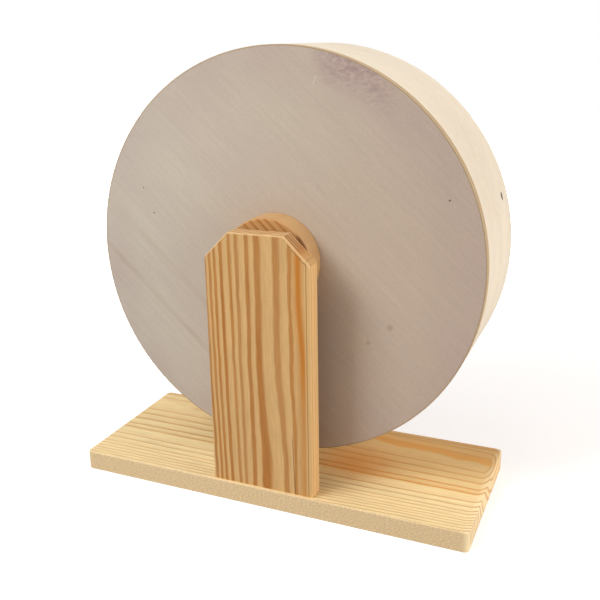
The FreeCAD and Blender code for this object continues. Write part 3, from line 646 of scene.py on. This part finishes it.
def disc_marks(n, place, base):
    """Handling marks on the face: dark specks, two faint stains, a pale scratch, a mauve patch."""
    x, y, z = n.axes(place)
    base = n.tint(base, colour(148, 114, 124), mauve_patch(n, place), 0.55)
    specks = [(mark, 0.5, 0.8, colour(70, 56, 52)) for mark in DISC_SPECKS]
    stains = [(mark, 1.0, 0.45, colour(140, 108, 84)) for mark in DISC_STAINS]
    for (across, up, size), softness, share, shade in specks + stains:
        centre = (across, -DISC_THICK, up)
        half = (size, 2.0, size)
        mark = n.use(spot, Place=place, Centre=centre, Half_Size=half, Softness=softness)
        base = n.tint(base, shade, mark["Mask"], share)
    slant = n.math("SUBTRACT", n.math("MULTIPLY_ADD", x, 2.33, 51.3), z)
    scratch = n.math("MULTIPLY", n.near(slant, 0.0, 0.2, 0.9), n.near(z, 117.6, 2.4, 2.9))
    return n.tint(base, colour(236, 228, 216), scratch, 0.5)


def make_disc_plywood():
    """Thin grey-beige face veneer with slanting grain; its edge shows five plies."""
    material, n, surface = finish_of("plywood_disc", Specular_IOR_Level=PLYWOOD_GLOSS)
    place = place_in_mm(n, AXLE_AT_DRUM)
    # The grain's Z runs down to the right at 43 degrees, its X up to the right across it.
    grain = place_in_mm(n, AXLE_AT_DRUM, turn=(0.0, 133.0, 0.0))
    fibres = n.use(wood_fibres, Place=grain, Fibre_Width=0.5, Fibre_Length=22.0)
    x, y, z = n.axes(place)
    # Paler at the left, darker and pinker at the right: partly the veneer's tone, partly painted light
    # falling off from the left.
    painted_falloff = n.between(x, -110.0, 110.0, soft=False)
    base = n.mix(painted_falloff, colour(206, 197, 182), colour(198, 180, 162))
    cloud = n.noise(n.scaled(grain, (0.02, 0.02, 0.009)), 1.0, 2.0, 0.5)
    base = n.mix(n.between(cloud, 0.42, 0.62, 0.0, 0.28), base, colour(196, 180, 170))
    away = from_axle(n, place)
    rim = n.math("MULTIPLY", n.between(away, 95.0, 139.0), n.noise(place, 0.03, 2.0))
    base = n.tint(base, colour(178, 156, 152), rim, 0.5)
    base = n.mix(veneer_lines(n, grain), base, colour(174, 150, 128))
    base = n.times(base, n.between(fibres["Streaks"], 0.36, 0.64, 0.95, 1.04, soft=False))
    base = n.times(base, n.between(fibres["Speckle"], 0.34, 0.66, 0.94, 1.05, soft=False))
    base = disc_marks(n, place, base)
    edge = plies(n, y, colour(222, 198, 158), colour(178, 148, 108))
    base = n.mix(n.between(away, WHEEL_RADIUS - 1.0, WHEEL_RADIUS - 0.6), base, edge)
    brink = n.near(away, WHEEL_RADIUS - 0.4, 0.2, 0.8)
    base = n.tint(base, colour(122, 100, 76), brink, 0.4)
    n.put(surface.inputs["Base Color"], base)
    n.put(surface.inputs["Roughness"], n.between(fibres["Streaks"], 0.3, 0.7, 0.6, 0.72, soft=False))
    raised(n, surface, fibres["Streaks"], 0.05)
    return material


def band_figure(n, y, along, wrapped):
    """Faint tan figure: lines that run round the drum and wander slowly across it."""
    across = n.math("MULTIPLY", y, 0.03)
    wander = n.noise(n.joined(0.0, across, n.math("MULTIPLY", along, 0.012)), 1.0, 2.0)
    lines = n.math("FRACT", n.math("MULTIPLY_ADD", y, 0.06, n.math("MULTIPLY", wander, 6.0)))
    line = n.math("MULTIPLY", n.between(lines, 0.55, 0.9), n.between(lines, 0.92, 1.0, 1.0, 0.0))
    patchy = n.noise(n.scaled(wrapped, (0.0, 0.04, 0.01)), 1.0, 2.0)
    return n.math("MULTIPLY", line, n.between(patchy, 0.42, 0.65, 0.0, 0.16))


def make_band_plywood():
    """Pale bent plywood: veneer grain round the drum, a glued lap joint, plies on its free edge."""
    material, n, surface = finish_of("plywood_band", Specular_IOR_Level=PLYWOOD_GLOSS)
    place = place_in_mm(n, AXLE_AT_DRUM)
    x, y, z = n.axes(place)
    angle = n.math("ARCTAN2", z, x)
    radius = from_axle(n, place)
    along = n.math("MULTIPLY", angle, WHEEL_RADIUS)
    wrapped = n.joined(radius, y, along)
    fibres = n.use(wood_fibres, Place=wrapped, Fibre_Width=0.7, Fibre_Length=30.0)
    base = n.mix(n.between(fibres["Tone"], 0.35, 0.65), colour(224, 214, 196), colour(230, 219, 199))
    base = n.mix(band_figure(n, y, along, wrapped), base, colour(206, 172, 118))
    base = n.times(base, n.between(fibres["Streaks"], 0.34, 0.66, 0.97, 1.025, soft=False))
    mottle = n.noise(wrapped, 0.18, 3.0, 0.6)
    base = n.times(base, n.between(mottle, 0.35, 0.65, 0.975, 1.02, soft=False))
    flat = n.joined(0.0, y, along)
    for turn, across, length, width, share in BAND_MARKS:
        centre = (0.0, across, turn * WHEEL_RADIUS)
        half = (1.0, width, length)
        mark = n.use(spot, Place=flat, Centre=centre, Half_Size=half, Softness=0.4)
        base = n.tint(base, colour(44, 30, 20), mark["Mask"], share)
    joint = n.near(angle, BAND_JOINT, 0.0008, 0.003)
    base = n.tint(base, colour(150, 116, 80), joint, 0.75)
    edge = plies(n, radius, colour(226, 206, 172), colour(176, 140, 100))
    base = n.mix(n.between(y, BAND_DEPTH - 0.8, BAND_DEPTH - 0.1), base, edge)
    n.put(surface.inputs["Base Color"], base)
    n.put(surface.inputs["Roughness"], n.between(fibres["Streaks"], 0.3, 0.7, 0.58, 0.7, soft=False))
    raised(n, surface, n.math("SUBTRACT", fibres["Streaks"], joint), 0.06)
    return material


def make_cork():
    """Pressed cork: rounded grains in warm browns with dark gaps between them."""
    material, n, surface = finish_of("pressed_cork", Specular_IOR_Level=0.2)
    place = place_in_mm(n)
    bent = n.vector("ADD", place, n.scaled(n.noise(place, 0.5, 2.0, out="Color"), (0.8, 0.8, 0.8)))
    cells = {"Vector": bent, "Scale": 0.55}
    grains = n.add("TexVoronoi", cells)
    gaps = n.add("TexVoronoi", cells, feature="DISTANCE_TO_EDGE")
    pick = n.add("SeparateColor", {0: grains.outputs["Color"]}).outputs[0]
    base = n.mix(pick, colour(200, 156, 108), colour(228, 190, 142))
    crumbs = n.noise(place, 2.4, 3.0, 0.7)
    base = n.times(base, n.between(crumbs, 0.3, 0.7, 0.85, 1.1, soft=False))
    gap = n.between(gaps.outputs["Distance"], 0.0, 0.09, 1.0, 0.0)
    n.put(surface.inputs["Base Color"], n.tint(base, colour(96, 64, 40), gap, 0.6))
    n.put(surface.inputs["Roughness"], n.between(crumbs, 0.3, 0.7, 0.8, 0.92, soft=False))
    raised(n, surface, n.math("MULTIPLY_ADD", gap, -0.7, crumbs), 0.35)
    return material


def make_turned_beech():
    """Turned beech: short dark flecks along the grain and fine tool rings about the axle."""
    material, n, surface = finish_of("turned_beech", Specular_IOR_Level=0.35)
    place = place_in_mm(n, AXLE_AT_DRUM)
    fibres = n.use(wood_fibres, Place=place, Fibre_Width=0.4, Fibre_Length=10.0)
    base = n.mix(n.between(fibres["Tone"], 0.35, 0.65), colour(214, 172, 130), colour(226, 188, 146))
    base = n.times(base, n.between(fibres["Streaks"], 0.3, 0.7, 0.93, 1.05, soft=False))
    flecks = n.add("TexVoronoi", {"Vector": n.scaled(place, (1.6, 1.6, 0.42)), "Scale": 1.0})
    fleck = n.between(flecks.outputs["Distance"], 0.08, 0.2, 0.55, 0.0)
    n.put(surface.inputs["Base Color"], n.mix(fleck, base, colour(160, 112, 74)))
    n.put(surface.inputs["Roughness"], n.between(fibres["Streaks"], 0.3, 0.7, 0.42, 0.55, soft=False))
    raised(n, surface, n.math("SINE", n.math("MULTIPLY", from_axle(n, place), 9.0)), 0.01)
    return material


# ---------------------------------------------------------------- metals


def make_metal(name, tint, rough, turned=True):
    """Machined metal: fine marks round the axle or along Y, and slightly uneven polish."""
    material, n, surface = finish_of(name, Metallic=1.0)
    place = place_in_mm(n, AXLE_LINE)
    x, y, z = n.axes(place)
    if turned:
        marks_at = n.joined(from_axle(n, place), y, 0.0)
    else:
        marks_at = n.joined(x, n.math("MULTIPLY", y, 0.05), z)
    marks = n.noise(marks_at, 14.0, 2.0, 0.6)
    stain = n.noise(place, 0.35, 3.0, 0.6)
    darker = (*(0.82 * part for part in tint[:3]), 1.0)
    base = n.mix(n.between(stain, 0.35, 0.7), tint, darker)
    n.put(surface.inputs["Base Color"], base)
    uneven = n.between(marks, 0.3, 0.7, rough - 0.06, rough + 0.08, soft=False)
    n.put(surface.inputs["Roughness"], uneven)
    raised(n, surface, marks, 0.006)
    return material


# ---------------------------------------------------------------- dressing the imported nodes

FINISHES = {
    "pine_base": make_base_pine(),
    "pine_post": make_post_pine(),
    "pine_hub": make_hub_pine(),
    "plywood_disc": make_disc_plywood(),
    "plywood_band": make_band_plywood(),
    "cork": make_cork(),
    "beech": make_turned_beech(),
    "zinc": make_metal("zinc_plate", colour(196, 200, 204), 0.32),
    "brass": make_metal("turned_brass", colour(206, 170, 96), 0.3),
    "aluminium": make_metal("turned_aluminium", colour(206, 207, 210), 0.34),
    "bearing": make_metal("ground_steel", colour(208, 208, 212), 0.16),
    "pressed": make_metal("pressed_steel", colour(184, 184, 188), 0.3, turned=False),
}
WORN_BY = {
    "base_board": "pine_base",
    "upright_post": "pine_post",
    "hub_block": "pine_hub",
    "back_disc": "plywood_disc",
    "rim_band": "plywood_band",
    "cork_lining": "cork",
    "axle_cap": "beech",
    "post_screws": "zinc",
    "hub_screws": "zinc",
    "axle_bolt": "zinc",
    "axle_washers": "zinc",
    "threaded_insert": "brass",
    "spacer_sleeve": "aluminium",
}
BEARING_FINISH = {"rings": "bearing", "balls": "bearing", "shields": "pressed", "cage": "pressed"}


def dress(node, finish):
    """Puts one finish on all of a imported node's faces."""
    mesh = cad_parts[node].data
    mesh.materials.clear()
    mesh.materials.append(FINISHES[finish])


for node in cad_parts:
    if "_bearing_" in node:
        kind = node.split("_bearing_")[1]
        dress(node, BEARING_FINISH.get(kind, "bearing"))
    else:
        dress(node, WORN_BY[node])

# ---------------------------------------------------------------- floor, world and lamps


def seen(nodes):
    """1 for rays from the camera and for what shows in gloss or glass, else 0."""
    path = nodes.add("LightPath").outputs
    first = nodes.math("MAXIMUM", path["Is Camera Ray"], path["Is Glossy Ray"])
    return nodes.math("MAXIMUM", first, path["Is Transmission Ray"])


def add_floor():
    """A plain pale floor that looks white where no shadow falls, and all white further off."""
    size, height = 3.0, -0.0002
    around = ((-1, -1), (1, -1), (1, 1), (-1, 1))
    corners = [(across * size, back * size, height) for across, back in around]
    mesh = bpy.data.meshes.new("floor")
    mesh.from_pydata(corners, [], [(0, 1, 2, 3)])
    floor = bpy.data.objects.new("floor", mesh)
    bpy.context.scene.collection.objects.link(floor)
    material, n, surface = finish_of("pale_floor", Roughness=0.9, Specular_IOR_Level=0.0)
    place = place_in_mm(n)
    grit = n.noise(place, 0.02, 2.0)
    n.put(surface.inputs["Base Color"], n.mix(grit, colour(196, 196, 198), colour(200, 200, 202)))
    away = n.vector("LENGTH", place, out="Value")
    glow = n.math("MULTIPLY", seen(n), n.between(away, 350.0, 900.0, 0.63, 1.2))
    surface.inputs["Emission Color"].default_value = (1.0, 1.0, 1.0, 1.0)
    n.put(surface.inputs["Emission Strength"], glow)
    mesh.materials.append(material)


def add_world():
    """A white surround to look at, and a dimmer, warmer one that lights the object."""
    world = bpy.data.worlds.new("surround")
    world.use_nodes = True
    world.node_tree.nodes.clear()
    n = Nodes(world.node_tree)
    light_on_object, white = 0.2, 1.0
    strength = n.between(seen(n), 0.0, 1.0, light_on_object, white, soft=False)
    tint = n.mix(seen(n), (1.0, 0.7, 0.48, 1.0), (1.0, 1.0, 1.0, 1.0))
    light = n.add("Background", {"Color": tint, "Strength": strength})
    out = n.add("OutputWorld")
    world.node_tree.links.new(light.outputs[0], out.inputs[0])
    bpy.context.scene.world = world


# Each lamp: name, place (m), the point it faces (m), width (m), watts, colour.
LAMPS = (
    ("key", (-0.9, -1.1, 1.3), (0.0, 0.0, 0.12), 0.9, 21.3, (0.94, 0.98, 1.0)),
    ("top", (-0.4, -0.4, 1.4), (0.0, 0.0, 0.1), 1.0, 7.0, (1.0, 1.0, 0.98)),
    ("side", (1.5, -0.08, 0.5), (0.0, 0.0, 0.15), 0.8, 15.5, (1.0, 0.96, 0.92)),
    ("back", (0.4, 1.6, 1.0), (0.0, 0.0, 0.15), 1.2, 6.0, (1.0, 0.99, 0.97)),
)


def add_lamp(name, place, target, size, watts, tint):
    """A square area lamp of a size (m) at place, turned towards target."""
    lamp = bpy.data.lights.new(name, "AREA")
    lamp.size = size
    lamp.energy = watts
    lamp.color = tint
    thing = bpy.data.objects.new(name, lamp)
    turn = (Vector(target) - Vector(place)).to_track_quat("-Z", "Y").to_matrix().to_4x4()
    thing.matrix_world = Matrix.Translation(place) @ turn
    bpy.context.scene.collection.objects.link(thing)


bpy.context.scene.view_settings.view_transform = "Standard"
add_camera()
add_floor()
add_world()
for lamp in LAMPS:
    add_lamp(*lamp)
